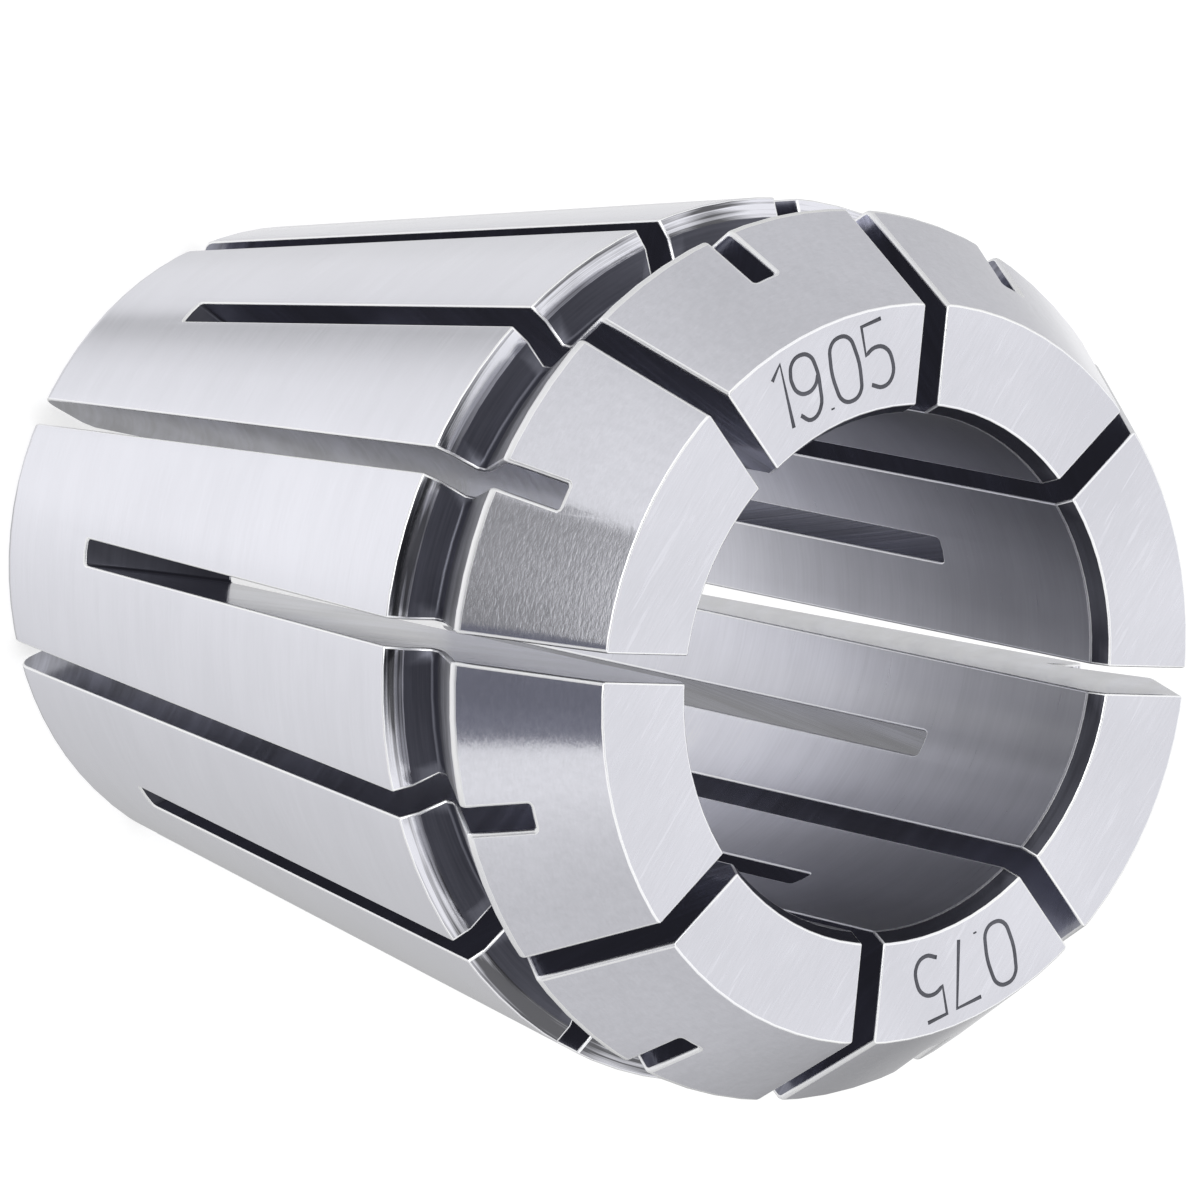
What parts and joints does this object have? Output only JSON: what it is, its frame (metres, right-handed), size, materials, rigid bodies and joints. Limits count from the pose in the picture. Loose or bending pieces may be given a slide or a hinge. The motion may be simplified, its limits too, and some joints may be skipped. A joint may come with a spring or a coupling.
{
  "type": "er collet",
  "caption": "Slotted spring collet: straight clamping bore, long seat cone, extraction groove and steep nose cone, with saw slots alternating from both ends.",
  "frame": {"origin": "centre of the small end's face, which the collet stands on", "axes": "+Z along the bore's axis, from the small end to the nose; +X through the middle of a slot that is sawn from the nose"},
  "size_m": [0.033, 0.033, 0.04],
  "materials": {
    "ground_steel": "ground and brushed, with a satin sheen"
  },
  "bodies": {
    "root": {"collet": "ground_steel"}
  },
  "joints": []
}
